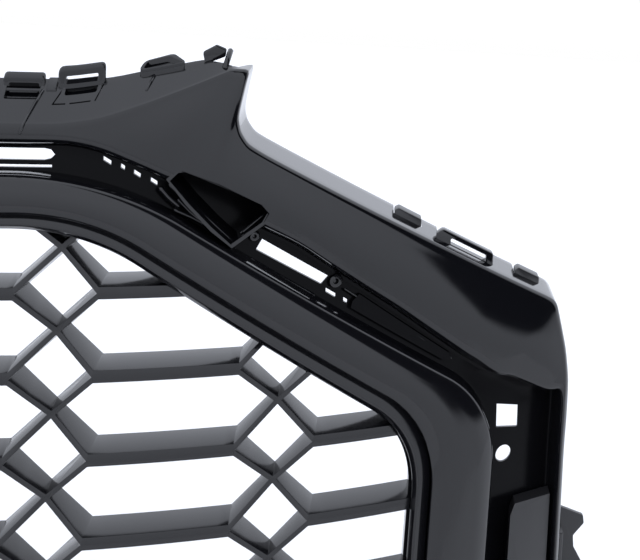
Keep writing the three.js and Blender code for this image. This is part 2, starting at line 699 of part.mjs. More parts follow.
/** A foot along the turned-back edge carries a flat wing with a bolt hole. */
function makeBracket(side) {
  const wing = leaningPlate(mirrorOutline(SIDE_BRACKET, side), BRACKET_LEVEL, BRACKET_THICK);
  const hole = leaningPlate(mirrorOutline(circle(602, -232, 3.5, 16), side), BRACKET_LEVEL + 9, 20);
  const foot = bentPlate(mirrorOutline(rectangle(588.8, -262, 591.8, -130), side), -4, -36);
  return wing.subtract(hole).add(foot);
}

function makeLowerRail() {
  const { halfLength, low, high, depth, pieces } = LOWER_RAIL;
  const top = SIDE_FLOOR - WALL - 3;
  const xs = Array.from({ length: pieces + 1 }, (_, i) => mix(-halfLength, halfLength, i / pieces));
  return xs.slice(1).map((x, i) => bentPlate(rectangle(xs[i], low, x, high), top, top - depth))
    .reduce((rail, piece) => rail.add(piece));
}

// ---------- assembly ----------
makeSurround();
makeFrame();
makeBezel();
makeInsert();
makeScrews();
makeTrimClips();
for (const [name, side] of SIDES) {
  for (const [clip, make] of Object.entries(BONNET_CLIPS)) {
    addPart(`${clip}_${name}`, mirrorSolid(make(), side), 'satin_black');
  }
  for (const [fixing, make] of Object.entries(HEADLIGHT_FIXINGS)) {
    addPart(`${fixing}_${name}`, make(side), 'gloss_black');
  }
  addPart(`slot_blank_${name}`, makeSlotBlank(side), 'gloss_black');
  addPart(`side_cover_${name}`, makeSideCover(side), 'satin_black');
  addPart(`side_bracket_${name}`, makeBracket(side), 'satin_black');
}
addPart('lower_rail', makeLowerRail(), 'satin_black');
grille.position.copy(ORIGIN).negate();

const model = new THREE.Group();
model.add(grille);
export default model;
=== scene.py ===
# %% [markdown]
# # A gloss black front grille, finished piece by piece
# The grille was drawn as plain solids first. This lesson loads those solids as a fixed frame and puts
# finer surfaces in the same places: a bent panel with rounded edges, a crowned frame, a bezel, a
# honeycomb insert and the clips round the rim. Every size is in millimetres until the last step.

# %% Load the frame
import json
import math

import bmesh
import bpy
import numpy as np
from mathutils import Matrix, Vector


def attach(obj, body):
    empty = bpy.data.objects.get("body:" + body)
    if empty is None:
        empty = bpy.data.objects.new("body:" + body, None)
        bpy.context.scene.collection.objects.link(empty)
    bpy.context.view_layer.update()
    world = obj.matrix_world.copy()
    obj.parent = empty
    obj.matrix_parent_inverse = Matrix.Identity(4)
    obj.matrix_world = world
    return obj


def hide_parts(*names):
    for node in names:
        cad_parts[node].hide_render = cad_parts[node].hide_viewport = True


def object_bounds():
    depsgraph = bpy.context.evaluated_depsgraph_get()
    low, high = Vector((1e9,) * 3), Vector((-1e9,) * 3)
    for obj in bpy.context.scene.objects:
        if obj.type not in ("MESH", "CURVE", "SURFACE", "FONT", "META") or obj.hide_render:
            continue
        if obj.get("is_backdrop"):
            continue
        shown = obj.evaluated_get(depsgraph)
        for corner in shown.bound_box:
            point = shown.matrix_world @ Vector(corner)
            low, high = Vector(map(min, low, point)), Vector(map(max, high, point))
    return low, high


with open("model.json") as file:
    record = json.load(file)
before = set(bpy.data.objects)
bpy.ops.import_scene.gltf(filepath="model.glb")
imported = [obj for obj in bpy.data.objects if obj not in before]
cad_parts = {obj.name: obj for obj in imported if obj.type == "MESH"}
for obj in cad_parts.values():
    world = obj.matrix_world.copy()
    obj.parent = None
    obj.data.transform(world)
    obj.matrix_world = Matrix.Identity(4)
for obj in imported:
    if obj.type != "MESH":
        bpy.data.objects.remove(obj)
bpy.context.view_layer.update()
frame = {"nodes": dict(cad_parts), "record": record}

# %% [markdown]
# The whole grille is bent on one surface: it falls back towards each side with the square of the
# distance from the middle, and leans back with height. A point is drawn as (x, z, forward), where
# forward is the distance in front of that surface, so that every piece bends in the same way.

# %% The bent surface
MM = 0.001
SWEEP = 0.00064
RAKE = 0.28
ORIGIN = np.array([0.0, 65.6, -98.0])


def surface(x, z):
    """Depth of the surface: sweep times x squared, plus rake times z."""
    return SWEEP * x * x + RAKE * z


def in_frame(drawn):
    """Drawn points (x, z, forward) as metres in the frame; Y is the surface's depth less forward."""
    x, z, forward = np.moveaxis(np.asarray(drawn, float), -1, 0)
    return (np.stack([x, surface(x, z) - forward, z], -1) - ORIGIN) * MM


# %% [markdown]
# The outlines run from the top middle round the right side to the bottom middle. Three of them are
# straights joined by arcs. The edge of the face along the channel and the outer edge are drawn
# through points, because a headlight and a bonnet set their course, and are then softened a little.

# %% Outlines
STEPS = dict(top=6, shoulder=8, chamfer=10, corner=8, side=5, foot=4, lower=3, heel=4, bottom=5)
FINE = 4                       # each step of the plain solids is divided again this many times
COUNTS = [("top", "shoulder"), ("chamfer", "corner"), ("side", "foot"), ("lower", "heel")]


def rounded_rail(top, corners, bottom):
    """Straights joined by arcs: at a corner the arc starts radius times tan(turn / 2) before it."""
    stops = [np.array([0.0, top])] + [np.array(c[:2], float) for c in corners] + [np.array([0.0, bottom])]
    start, parts = stops[0], []
    for k, (_, _, radius) in enumerate(corners):
        before = (stops[k + 1] - start) / np.linalg.norm(stops[k + 1] - start)
        after = (stops[k + 2] - stops[k + 1]) / np.linalg.norm(stops[k + 2] - stops[k + 1])
        turn = math.acos(float(before @ after))
        reach = radius * math.tan(turn / 2)
        arc_start = stops[k + 1] - reach * before
        centre = arc_start + radius * np.array([before[1], -before[0]])
        straight_steps, arc_steps = (STEPS[name] * FINE for name in COUNTS[k])
        t = np.linspace(0, 1, straight_steps, endpoint=False)[:, None]
        parts.append(start + t * (arc_start - start))
        angle = -turn * np.linspace(0, 1, arc_steps, endpoint=False)
        arm = arc_start - centre
        parts.append(centre + np.stack([arm[0] * np.cos(angle) - arm[1] * np.sin(angle),
                                        arm[0] * np.sin(angle) + arm[1] * np.cos(angle)], -1))
        start = stops[k + 1] + reach * after
    t = np.linspace(0, 1, STEPS["bottom"] * FINE + 1)[:, None]
    parts.append(start + t * (stops[-1] - start))
    return np.concatenate(parts)


def drawn_rail(top, stretches):
    """Straight stretches, each (steps, x, z) from the point before."""
    parts = [np.array([[0.0, top]])]
    for steps, x, z in stretches:
        t = np.linspace(0, 1, steps * FINE + 1)[1:, None]
        start = parts[-1][-1]
        parts.append(start + t * (np.array([x, z]) - start))
    return np.concatenate(parts)


def both_halves(half):
    """The right half followed by its mirror image, as one loop."""
    return np.concatenate([half, half[-2:0:-1] * [-1, 1]])


def softened(rail, reach):
    """Each point becomes the bell-weighted mean of its neighbours along the loop."""
    offsets = np.arange(-3 * FINE, 3 * FINE + 1)
    weights = np.exp(-0.5 * (offsets / reach) ** 2)
    return sum(w * np.roll(rail, -k, axis=0) for k, w in zip(offsets, weights)) / weights.sum()


OPENING, FRAME_IN, FRAME_OUT, CHANNEL, OUTER = range(5)
RAILS = [
    both_halves(rounded_rail(
        122.5, [(234, 122.5, 150), (467, -31, 72), (465, -264, 52), (370, -345, 62)], -345)),
    both_halves(rounded_rail(
        133.5, [(239, 133.5, 150), (481, -21.6, 82), (479, -272, 60), (378, -358, 70)], -358)),
    both_halves(rounded_rail(
        158, [(248, 158, 212), (527, -13.6, 80), (525, -290, 60), (400, -398, 80)], -398)),
    softened(both_halves(drawn_rail(178.5, [
        (STEPS["top"], 200, 178.5),
        (1, 226, 178.4), (1, 245, 174), (1, 264, 166), (1, 277, 160.4), (1, 287, 156), (3, 312, 143.6),
        (2, 351, 124), (1, 377, 111), (1, 397, 97), (2, 434, 72), (1, 449, 62), (3, 502, 23),
        (1, 509, 18.7), (1, 527, 4.6), (1, 537, 3), (2, 570, -14.7), (1, 580, -13.3), (2, 580, -58.6),
        (STEPS["side"], 583, -262), (1, 580, -284), (1, 571, -304), (1, 558, -321), (1, 541, -337),
        (STEPS["lower"], 463, -403), (1, 448, -413), (1, 431, -421), (1, 411, -426), (1, 390, -428),
        (STEPS["bottom"], 0, -428)])), 1.2),
    softened(both_halves(drawn_rail(190, [
        (STEPS["top"], 200, 190.6),
        (1, 219, 190.8), (1, 243.6, 194.6), (1, 274, 205.3), (1, 304.6, 217.6), (1, 324.5, 226.2),
        (1, 336, 225.6), (1, 333.7, 214), (1, 330.4, 194.6),
        (1, 332.3, 185.5), (1, 338, 177), (1, 350, 169.7), (7, 520, 79.4),
        (1, 545, 66.2), (1, 566.5, 54.9), (1, 571, 50), (1, 574.4, 38.7), (1, 581, 15.5), (1, 585, -8),
        (1, 585.5, -35), (1, 585, -58.6),
        (STEPS["side"], 588, -262), (1, 585, -286), (1, 576, -308), (1, 562, -326), (1, 545, -342),
        (STEPS["lower"], 466, -408), (1, 451, -418), (1, 433, -426), (1, 412, -431), (1, 390, -433),
        (STEPS["bottom"], 0, -433)])), 0.9),
]
STATIONS = len(RAILS[0])
HALF = STATIONS // 2
COARSE = np.minimum(np.arange(STATIONS), STATIONS - np.arange(STATIONS)) / FINE
print("stations round the grille:", STATIONS)


def across_at(across, shift=0.0):
    """Places between the outlines: 1.5 is halfway from outline 1 to 2; shift moves outwards in mm."""
    lower = int(min(math.floor(across), OUTER - 1))
    inner, outer = RAILS[lower], RAILS[lower + 1]
    outward = (outer - inner) / np.linalg.norm(outer - inner, axis=1, keepdims=True)
    return inner + (outer - inner) * (across - lower) + outward * np.reshape(shift, (-1, 1))


# %% [markdown]
# A section is a closed loop of corners at every station. A moulded part has no knife edges, so each
# corner is replaced by a short curve, and the sides between them are divided so that they can bend.

# %% Rounded sections
def rounded_sections(corners, radii, splits, arc=4):
    """Each corner becomes a quadratic curve that starts its radius before it and ends as far after."""
    count = corners.shape[1]
    rows = []
    for j in range(count):
        here, before, after = corners[:, j], corners[:, j - 1], corners[:, (j + 1) % count]
        back, on = before - here, after - here
        back_length = np.maximum(np.linalg.norm(back, axis=1, keepdims=True), 1e-6)
        on_length = np.maximum(np.linalg.norm(on, axis=1, keepdims=True), 1e-6)
        first = here + back / back_length * np.minimum(radii[j], 0.45 * back_length)
        last = here + on / on_length * np.minimum(radii[j], 0.45 * on_length)
        for t in np.linspace(0, 1, arc):
            rows.append((1 - t) ** 2 * first + 2 * t * (1 - t) * here + t ** 2 * last)
        next_first = after - on / on_length * np.minimum(radii[(j + 1) % count], 0.45 * on_length)
        for t in np.linspace(0, 1, splits[j] + 1)[1:-1]:
            rows.append(last + (next_first - last) * t)
    return np.stack(rows, axis=1)


def ring_faces(stations, width):
    """Quads of a ring that closes both ways: station by station and round the section."""
    i, j = np.meshgrid(np.arange(stations), np.arange(width), indexing="ij")
    ahead, beside = (i + 1) % stations, (j + 1) % width
    corners = [i * width + j, i * width + beside, ahead * width + beside, ahead * width + j]
    return np.stack(corners, -1).reshape(-1, 4)


def new_piece(name, points, faces, shade_angle=32):
    """A mesh object in metres with its faces turned out and shaded smooth below an angle."""
    mesh = bpy.data.meshes.new(name)
    mesh.from_pydata(np.asarray(points).tolist(), [], [list(map(int, face)) for face in faces])
    work = bmesh.new()
    work.from_mesh(mesh)
    bmesh.ops.remove_doubles(work, verts=work.verts, dist=1e-6)
    bmesh.ops.recalc_face_normals(work, faces=work.faces)
    open_edges = sum(not edge.is_manifold for edge in work.edges)
    if open_edges:
        print(name, "has open edges:", open_edges)
    work.to_mesh(mesh)
    work.free()
    piece = bpy.data.objects.new(name, mesh)
    bpy.context.scene.collection.objects.link(piece)
    shade(piece, shade_angle)
    return piece


def shade(piece, angle):
    """Smooth shading, with edges sharper than the angle kept crisp."""
    mesh = piece.data
    mesh.polygons.foreach_set("use_smooth", np.ones(len(mesh.polygons), bool))
    mesh.set_sharp_from_angle(angle=math.radians(angle))
    mesh.update()


def ring_piece(name, corners, radii, splits, crown=None, arc=4):
    """A ring through the rounded sections; crown may lift the drawn points before they are bent."""
    sections = rounded_sections(corners, radii, splits, arc)
    if crown is not None:
        sections = crown(sections)
    stations, width = sections.shape[:2]
    return new_piece(name, in_frame(sections).reshape(-1, 3), ring_faces(stations, width))


def section_of(rows):
    """Stacks (places, forward) rows into corners at every station."""
    return np.stack([np.concatenate([place, np.broadcast_to(np.reshape(forward, (-1, 1)), (STATIONS, 1))], 1)
                     for place, forward in rows], axis=1)


def even_section(section):
    """The same section at every station, as (across, shift, forward) corners."""
    return section_of([(across_at(across, shift), forward) for across, shift, forward in section])

# %% [markdown]
# The camera stands a little to the right of the middle and above the grille, and looks slightly
# down on it through a long lens, so that the upper right corner of the grille fills the frame.

# %% Camera
CAMERA_PLACE = np.array([417.0, -817.6, 353.0])
CAMERA_YAW, CAMERA_PITCH, CAMERA_ROLL = -1.5635, 16.059, 3.394     # degrees
LENS, SENSOR = 78.75, 36.0


def camera_turn(yaw, pitch, roll):
    """Axes of a camera that looks along +Y, then turns right, dips down and rolls."""
    yaw, pitch, roll = (math.radians(angle) for angle in (yaw, pitch, roll))
    forward = Vector((math.sin(yaw) * math.cos(pitch), math.cos(yaw) * math.cos(pitch), -math.sin(pitch)))
    level = Vector((math.cos(yaw), -math.sin(yaw), 0))
    upright = level.cross(forward)
    right = math.cos(roll) * level + math.sin(roll) * upright
    up = math.cos(roll) * upright - math.sin(roll) * level
    return Matrix((right, up, -forward)).transposed()


camera = bpy.data.objects.new("camera", bpy.data.cameras.new("camera"))
camera.data.lens = LENS
camera.data.sensor_width = SENSOR
camera.data.clip_start = 0.01
camera.matrix_world = (Matrix.Translation((CAMERA_PLACE - ORIGIN) * MM)
                       @ camera_turn(CAMERA_YAW, CAMERA_PITCH, CAMERA_ROLL).to_4x4())
bpy.context.scene.collection.objects.link(camera)
bpy.context.scene.camera = camera
bpy.context.scene.view_settings.view_transform = "Standard"
print("camera at", tuple(round(v, 3) for v in camera.location))

# %% [markdown]
# Black gloss shows nothing of its own: it is drawn by what it reflects. A white tent all round gives
# the even grey of a studio picture, and one black screen far to the right gives the panel's right
# end its deep black reflection with a soft edge. The floor is plain and pale.

# %% Studio
def math_node(tree, operation, *values):
    """A Math node fed with numbers or sockets."""
    node = tree.nodes.new("ShaderNodeMath")
    node.operation = operation
    for k, value in enumerate(values):
        if isinstance(value, (int, float)):
            node.inputs[k].default_value = value
        else:
            tree.links.new(value, node.inputs[k])
    return node.outputs[0]


def ramp(tree, value, low, high):
    """0 below low, 1 above high, smooth between."""
    node = tree.nodes.new("ShaderNodeMapRange")
    node.interpolation_type = "SMOOTHSTEP"
    node.inputs["From Min"].default_value = low
    node.inputs["From Max"].default_value = high
    tree.links.new(value, node.inputs["Value"])
    return node.outputs["Result"]


SCREEN_START = math.radians(65)         # turned to the right of straight ahead of the grille


def make_tent():
    """White in every direction, darker low down, with a black screen to the right above the horizon."""
    world = bpy.data.worlds.new("studio_tent")
    bpy.context.scene.world = world
    world.use_nodes = True
    tree = world.node_tree
    background = tree.nodes["Background"]
    direction = tree.nodes.new("ShaderNodeTexCoord").outputs["Generated"]
    parts = tree.nodes.new("ShaderNodeSeparateXYZ")
    tree.links.new(direction, parts.inputs[0])
    height = tree.nodes.new("ShaderNodeMapRange")
    height.inputs["From Min"].default_value = -0.5
    height.inputs["From Max"].default_value = 0.6
    height.inputs["To Min"].default_value = 0.75
    height.inputs["To Max"].default_value = 1.45
    tree.links.new(parts.outputs["Z"], height.inputs["Value"])
    across = math_node(tree, "MULTIPLY", parts.outputs["X"], math.cos(SCREEN_START))
    away = math_node(tree, "MULTIPLY", parts.outputs["Y"], math.sin(SCREEN_START))
    near_side = ramp(tree, math_node(tree, "ADD", across, away), 0.06, 0.1)
    far_side = ramp(tree, math_node(tree, "SUBTRACT", across, away), 0.0, 0.2)
    above = ramp(tree, parts.outputs["Z"], 0.02, 0.08)
    screen = math_node(tree, "MULTIPLY", math_node(tree, "MULTIPLY", near_side, far_side), above)
    lit = math_node(tree, "MULTIPLY", height.outputs["Result"], math_node(tree, "SUBTRACT", 1.0, screen))
    seen = tree.nodes.new("ShaderNodeLightPath").outputs["Is Camera Ray"]
    colours = tree.nodes.new("ShaderNodeMix")
    colours.data_type = "RGBA"
    colours.inputs[6].default_value = (0.93, 0.97, 1.07, 1)
    colours.inputs[7].default_value = (1, 1, 1, 1)
    tree.links.new(seen, colours.inputs["Factor"])
    tree.links.new(colours.outputs[2], background.inputs["Color"])
    tree.links.new(math_node(tree, "MAXIMUM", lit, seen), background.inputs["Strength"])


make_tent()
print("studio:", bpy.context.scene.world.name)

# %% [markdown]
# The materials. The panel and the frame are injection moulded in polished tools, so they are nearly
# mirrors with a faint ripple. The insert is half gloss, the clips are satin with a fine spark-eroded
# grain, and the fixings are zinc plated steel.

# %% Materials
def gloss_material(name, colour, roughness, ripple, grain, spread=0.03, ior=1.5):
    """Dark plastic: noise varies its roughness, and two noises, wide and fine, ripple its surface."""
    material = bpy.data.materials.new(name)
    material.use_nodes = True
    tree = material.node_tree
    shader = tree.nodes["Principled BSDF"]
    place = tree.nodes.new("ShaderNodeTexCoord").outputs["Object"]
    wide = noise(tree, place, 28, 2)
    fine = noise(tree, place, 1400, 3)
    vary = tree.nodes.new("ShaderNodeMapRange")
    vary.inputs["To Min"].default_value = max(roughness - spread, 0.01)
    vary.inputs["To Max"].default_value = roughness + spread
    tree.links.new(noise(tree, place, 90, 4), vary.inputs["Value"])
    tree.links.new(vary.outputs["Result"], shader.inputs["Roughness"])
    tint = tree.nodes.new("ShaderNodeMix")
    tint.data_type = "RGBA"
    tint.inputs[6].default_value = (*colour, 1)
    tint.inputs[7].default_value = (*(c * 1.35 for c in colour), 1)
    tree.links.new(noise(tree, place, 9, 2), tint.inputs["Factor"])
    tree.links.new(tint.outputs[2], shader.inputs["Base Color"])
    low = bump(tree, wide, ripple, 0.0006, None)
    high = bump(tree, fine, grain, 0.00005, low)
    tree.links.new(high, shader.inputs["Normal"])
    shader.inputs["IOR"].default_value = ior
    return material


def noise(tree, place, scale, detail):
    """A noise texture on object coordinates, scale in waves per metre."""
    node = tree.nodes.new("ShaderNodeTexNoise")
    node.inputs["Scale"].default_value = scale
    node.inputs["Detail"].default_value = detail
    tree.links.new(place, node.inputs["Vector"])
    return node.outputs["Fac"]


def bump(tree, height, strength, distance, before):
    """A Bump node after another one."""
    node = tree.nodes.new("ShaderNodeBump")
    node.inputs["Strength"].default_value = strength
    node.inputs["Distance"].default_value = distance
    tree.links.new(height, node.inputs["Height"])
    if before is not None:
        tree.links.new(before, node.inputs["Normal"])
    return node.outputs["Normal"]


def zinc_material():
    """Zinc plating: bright metal whose patches differ a little in tint and polish."""
    material = gloss_material("zinc_steel", (0.55, 0.55, 0.53), 0.32, 0.05, 0.4, 0.08)
    material.node_tree.nodes["Principled BSDF"].inputs["Metallic"].default_value = 1.0
    return material


FINISHES = {
    "panel_gloss": gloss_material("panel_gloss", (0.0035, 0.0036, 0.0045), 0.07, 0.05, 0.05),
    "frame_gloss": gloss_material("frame_gloss", (0.004, 0.004, 0.005), 0.09, 0.04, 0.05),
    "insert_satin": gloss_material("insert_satin", (0.005, 0.005, 0.006), 0.16, 0.03, 0.1),
    "clip_satin": gloss_material("clip_satin", (0.012, 0.012, 0.013), 0.3, 0.03, 0.5),
    "zinc_steel": zinc_material(),
}
# Painted shade: the channel floors and the slot blanks get a darker base colour and a low IOR of 1.17, so
# they reflect far less than the face. They are also rougher.
CHANNEL_PAINTED_SHADE = gloss_material("panel_channel_painted_shade", (0.002, 0.002, 0.0025), 0.2, 0.05, 0.1, 0.04, 1.17)
slots = {part["node"]: part["material_slot"] for part in frame["record"]["subparts"]}
for node_name, node in frame["nodes"].items():
    node.data.materials.clear()
    node.data.materials.append(FINISHES[slots[node_name]])
print("finishes:", ", ".join(FINISHES))


def finish_piece(piece, slot_name, *nodes):
    """Gives a piece its finish, puts it on the body and lets it stand for its plain solids."""
    piece.data.materials.clear()
    piece.data.materials.append(FINISHES[slot_name])
    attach(piece, "root")
    if nodes:
        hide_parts(*nodes)
    print(piece.name, len(piece.data.polygons), "faces")


# %% [markdown]
# The frame is a hollow moulding with a softly crowned face. It is one section carried round the
# outlines, so its corners turn as evenly as the tool that a milling machine cut for it.

# %% Frame
FLOOR = -6.0
WALL = 2.6
GAP = 0.4
FRAME_SECTION = [
    (FRAME_OUT, 0, FLOOR + GAP), (FRAME_OUT, 0, 13.6), (FRAME_OUT - 0.16, 0, 17.6),
    (FRAME_OUT - 0.5, 0, 19.2), (FRAME_IN + 0.16, 0, 18.2), (FRAME_IN, 0, 14.4), (FRAME_IN, 0, -3 + GAP),
    (FRAME_IN, WALL, -3 + GAP), (FRAME_IN, WALL, 12), (FRAME_OUT - 0.5, 0, 16),
    (FRAME_OUT - 0.001, -WALL - 1, 9.5), (FRAME_OUT - 0.001, -WALL, FLOOR + GAP)]
frame_trim = ring_piece("frame_front", even_section(FRAME_SECTION),
                        [0.3, 2.5, 4, 8, 4, 2.5, 0.3, 0.3, 1, 3, 2, 0.3],
                        [3, 1, 3, 3, 1, 3, 1, 3, 2, 2, 2, 1], arc=5)
finish_piece(frame_trim, "frame_gloss", "frame_trim")

# %% [markdown]
# The bezel closes the gap between the frame and the insert. Its lip catches a thin line of light.

# %% Bezel
BEZEL_SECTION = [
    (OPENING, 0, FLOOR + GAP), (OPENING, 0, 2), (OPENING + 0.3, 0, 8.2), (FRAME_IN - 0.06, 0, 6.8),
    (FRAME_IN - 0.06, 0, 4.4), (OPENING + 0.42, 0, 5.2), (OPENING + 0.25, 0, 0), (OPENING + 0.25, 0, -3),
    (FRAME_IN + 0.32, 0, -3), (FRAME_IN + 0.32, 0, FLOOR + GAP)]
bezel = ring_piece("bezel_lip", even_section(BEZEL_SECTION),
                   [0.3, 1.5, 1.0, 0.5, 0.3, 0.8, 0.5, 0.5, 0.3, 0.3], [3, 3, 2, 1, 2, 2, 1, 3, 1, 3])
finish_piece(bezel, "frame_gloss", "inner_bezel")

# %% [markdown]
# The surround panel is one moulding. Its section starts under the frame, crosses the channel floor,
# climbs to the face, turns back at the headlight edge, or climbs back as the bonnet flange, and
# returns inside. The face is crowned a little, because a flat gloss face would look dented.

# %% Surround panel
SIDE_FLOOR, FACE, FLANGE_RISE = -10.0, 14.0, 0.8
CROWN = 2.2                    # how far the broad face swells forward
TIP_STATION = 11
DEPTH_STOPS = ([0, 7, 8, 9, 10, 11, 12, 14, 17, 34, 40, HALF / FINE],
               [30, 30, 27, 23, 16, 3, 33, 47, 54, 54, 40, 30])


def smoothstep(value, low, high):
    """0 below low, 1 above high, and 3t^2 - 2t^3 between them."""
    t = np.clip((value - low) / (high - low), 0, 1)
    return t * t * (3 - 2 * t)


def rear_edge(place, shift):
    """Rear end of the turned-back edge, drawn as (x, z, forward); shift is its distance inside the wall."""
    edge = across_at(OUTER)
    depth = np.interp(COARSE, *DEPTH_STOPS)
    climbs = COARSE <= TIP_STATION
    rise = np.where(climbs, depth * FLANGE_RISE, 0)
    inwards = place - edge
    x = edge[:, 0] + np.where(climbs, 0, inwards[:, 0])
    z = edge[:, 1] + rise + np.where(climbs, -shift * 0.78, inwards[:, 1])
    y = surface(*edge.T) - (FACE - 3) + depth + np.where(climbs, shift * 0.62, 0)
    return np.stack([x, z], 1), surface(x, z) - y


def panel_sections():
    """The sixteen corners of the panel's section at every station."""
    inner, edge = across_at(CHANNEL), across_at(OUTER)
    width = np.linalg.norm(edge - inner, axis=1)
    hollow = smoothstep(width, 8, 16)
    floor = FLOOR + (SIDE_FLOOR - FLOOR) * smoothstep(COARSE, 24, 30)
    inside = (floor - WALL) + (FACE - floor) * hollow
    climbs = COARSE <= TIP_STATION

    def face_at(mm, most=0.3):
        """A distance in from the channel's edge, and never more than a share of the width."""
        return inner + (edge - inner) * np.minimum(mm / width, most)[:, None]

    def rim_at(mm, most=0.46):
        """The same, in from the outer edge."""
        return edge - (edge - inner) * np.minimum(mm / width, most)[:, None]

    rim = np.where(climbs, 1.2, 3.0)
    under = across_at(CHANNEL - 0.001, -6)
    rows = [
        (across_at(FRAME_IN + 0.2), FLOOR), (across_at(FRAME_OUT, 1), FLOOR), (under, floor),
        (across_at(CHANNEL - 0.001, -1.2), FACE - 5), (face_at(2.5), FACE), (rim_at(rim), FACE),
        (edge, np.where(climbs, FACE - 1.5, FACE - 3)), rear_edge(edge, 0.0), rear_edge(rim_at(WALL), WALL),
        (rim_at(WALL), np.minimum(FACE - 4, inside)),
        (rim_at(2 * WALL, 0.52), inside), (face_at(3.4, 0.42), inside),
        (face_at(1.6), np.minimum(FACE - 6, inside)), (across_at(CHANNEL - 0.001, -3.2), floor - WALL),
        (across_at(FRAME_OUT, 1), FLOOR - WALL), (across_at(FRAME_IN + 0.2), FLOOR - WALL)]
    return section_of(rows), width


PANEL_RADII = [0.3, 2, 2.5, 2, 3.4, 3, 1.2, 0.4, 0.4, 1, 2, 2, 1.5, 1.5, 1, 0.3]
PANEL_SPLITS = [2, 3, 2, 1, 12, 1, 6, 1, 4, 1, 6, 1, 2, 3, 2, 1]
panel_corners, face_width = panel_sections()
ARC = 4
FACE_ROWS = slice(int(np.sum([ARC - 1 + s for s in PANEL_SPLITS[:4]])) + ARC - 1,
                  int(np.sum([ARC - 1 + s for s in PANEL_SPLITS[:5]])) + 1)


def crowned(sections):
    """The face swells forward by the crown times a sine across it, where the face is broad."""
    rows = sections[:, FACE_ROWS]
    t = np.linspace(0, 1, rows.shape[1])
    rows[..., 2] += CROWN * smoothstep(face_width, 18, 70)[:, None] * np.sin(math.pi * t)
    return sections


panel = ring_piece("surround_front", panel_corners, PANEL_RADII, PANEL_SPLITS, crowned, ARC)

# %% [markdown]
# Slots, snap holes and the pocket are cut with solids that go straight through the wall. A cutter is
# an outline pushed along Y, so the walls that it leaves are square to the opening of the mould.

# %% Cutters for the panel
FAR = 60.0


def plate_piece(name, outline, front, back):
    """A solid between two forward levels; its outline is divided so that long sides bend."""
    outline = divided(np.asarray(outline, float), 12.0)
    count = len(outline)
    levels = [np.broadcast_to(level, count) for level in (front, back)]
    points = np.concatenate([in_frame(np.column_stack([outline, level])) for level in levels])
    ids = np.arange(count)
    sides = np.stack([ids, (ids + 1) % count, (ids + 1) % count + count, ids + count], 1)
    faces = [list(ids), list(ids[::-1] + count)] + sides.tolist()
    return new_piece(name, points, faces)


def divided(outline, longest):
    """Sides longer than a limit are cut into equal parts."""
    parts = []
    for here, after in zip(outline, np.roll(outline, -1, axis=0)):
        pieces = max(1, math.ceil(np.linalg.norm(after - here) / longest))
        parts.append(here + (after - here) * np.linspace(0, 1, pieces, endpoint=False)[:, None])
    return np.concatenate(parts)


def soften_edges(piece, width, segments=2):
    """A narrow Bevel on every edge sharper than 35 degrees, written into the mesh."""
    modifier = piece.modifiers.new("edge", "BEVEL")
    modifier.width = width * MM
    modifier.segments = segments
    modifier.limit_method = "ANGLE"
    modifier.angle_limit = math.radians(35)
    modifier.harden_normals = False
    apply_modifiers(piece)
    shade(piece, 50)


def apply_modifiers(piece):
    """Writes the piece's modifiers into its mesh."""
    graph = bpy.context.evaluated_depsgraph_get()
    made = bpy.data.meshes.new_from_object(piece.evaluated_get(graph))
    piece.modifiers.clear()
    piece.data = made


def joined(piece, others, operation):
    """Cuts the others from the piece, joins them to it, or keeps the part inside them."""
    for other in others:
        modifier = piece.modifiers.new("cut", "BOOLEAN")
        modifier.operation = operation
        modifier.solver = "MANIFOLD"
        modifier.object = other
    apply_modifiers(piece)
    for other in others:
        bpy.data.objects.remove(other)
    shade(piece, 32)
    return piece


def mirrored(outline, side):
    """The outline on the given side of the car: 1 is the right, -1 the left."""
    return np.asarray(outline, float) * [side, 1]


def grown(outline, distance):
    """The outline moved away from its middle."""
    outline = np.asarray(outline, float)
    arm = outline - outline.mean(axis=0)
    return outline + arm / np.linalg.norm(arm, axis=1, keepdims=True) * distance


def snap_hole(x, z, length):
    """A small rectangle: level beside the top of the frame, and along the chamfer further out."""
    slope = 0.0 if x < 240 else math.atan2(-0.524, 0.852)
    along = np.array([math.cos(slope), math.sin(slope)]) * length / 2
    middle, half = np.array([x, z]), np.array([0, 1.4])
    return [middle - along - half, middle + along - half, middle + along + half, middle - along + half]


def circle(x, z, radius, sides=48):
    """Points round a circle."""
    angle = 2 * math.pi * (np.arange(sides) + 0.5) / sides
    return np.column_stack([x + radius * np.cos(angle), z + radius * np.sin(angle)])


SIDES = (("right", 1), ("left", -1))
SLOTS = [
    [(40, 164), (207, 164), (211, 165), (213.5, 167.6), (211, 170.6), (207, 171.5), (40, 171.5)],
    [(40, 159.3), (212, 159.3), (212, 161), (40, 161)],
    [(350, 111), (396.5, 83.7), (391.8, 78.4), (346.3, 104)],
    [(528.8, -22), (546, -26), (546.5, -42), (529.5, -39)],
    circle(536.5, -59.5, 6)]
SNAP_HOLES = [(246.5, 164, 6), (256.6, 160, 3), (266, 155.5, 5), (277, 150.5, 5), (399, 72, 8),
              (409.6, 66, 3), (428, 54.5, 5), (439, 48.5, 7)]
POCKET = np.array([(289.5, 154.3), (294.4, 159.4), (298.2, 160),
                   (321.8, 150.5), (348.5, 138.1), (353.8, 132.4),
                   (350.5, 126.2), (331, 112.5), (318, 124), (303, 139)])
POCKET_FLOOR = -24.0

for side_name, side in SIDES:
    cutters = [plate_piece("cutter", mirrored(outline, side), FAR, -FAR / 3)
               for outline in SLOTS + [snap_hole(*hole) for hole in SNAP_HOLES]]
    cutters.append(plate_piece("cutter", mirrored(grown(POCKET, WALL / 2), side), FAR, POCKET_FLOOR))
    joined(panel, cutters, "DIFFERENCE")
    shell = plate_piece("shell", mirrored(grown(POCKET, WALL), side), FACE - 1, POCKET_FLOOR - WALL)
    joined(shell, [plate_piece("cutter", mirrored(POCKET, side), FAR, POCKET_FLOOR)], "DIFFERENCE")
    joined(panel, [shell], "UNION")
finish_piece(panel, "panel_gloss", "surround_panel")

